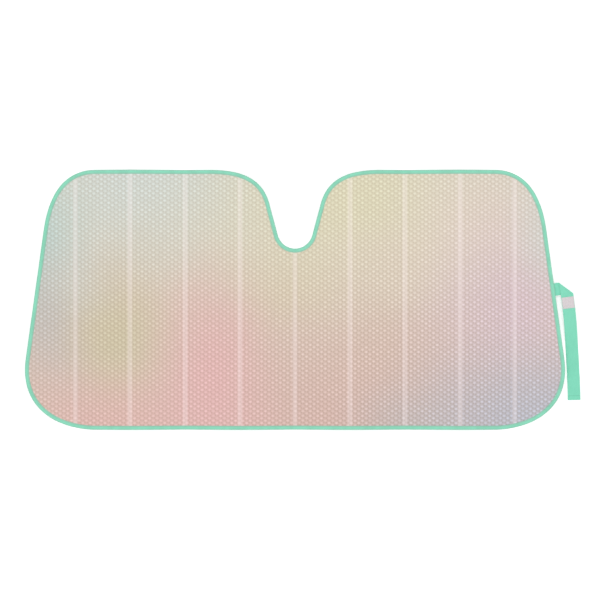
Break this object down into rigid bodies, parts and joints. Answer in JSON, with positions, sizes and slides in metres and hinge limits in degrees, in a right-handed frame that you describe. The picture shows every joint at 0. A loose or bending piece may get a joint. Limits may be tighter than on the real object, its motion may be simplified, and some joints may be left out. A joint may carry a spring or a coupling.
{
  "type": "windscreen sunshade",
  "caption": "Accordion windscreen sunshade of pastel metallised bubble laminate with a mirror notch, a bound edge and an elastic closing strap.",
  "frame": {"origin": "middle of the centre crease's back face, where the spread shade touches what it lies on", "axes": "+X towards the shade's right seen from the front, +Y towards the edge with the mirror notch, +Z out of the coloured front"},
  "size_m": [1.4958, 0.7, 0.0177],
  "materials": {
    "foil": "pearly metallised bubble film in soft pastel pools of grey, mint, cream, pink and lavender",
    "tape": "mint woven binding tape",
    "webbing": "mint elastic webbing with fine lengthwise ribs",
    "loop_pile": "pale loop pile",
    "hook_tape": "pale moulded hooks on a woven ground"
  },
  "bodies": {
    "root": {"bubble_panel": "foil", "edge_binding": "tape", "closure_strap": "webbing", "loop_patch": "loop_pile", "hook_patch": "hook_tape"}
  },
  "joints": []
}
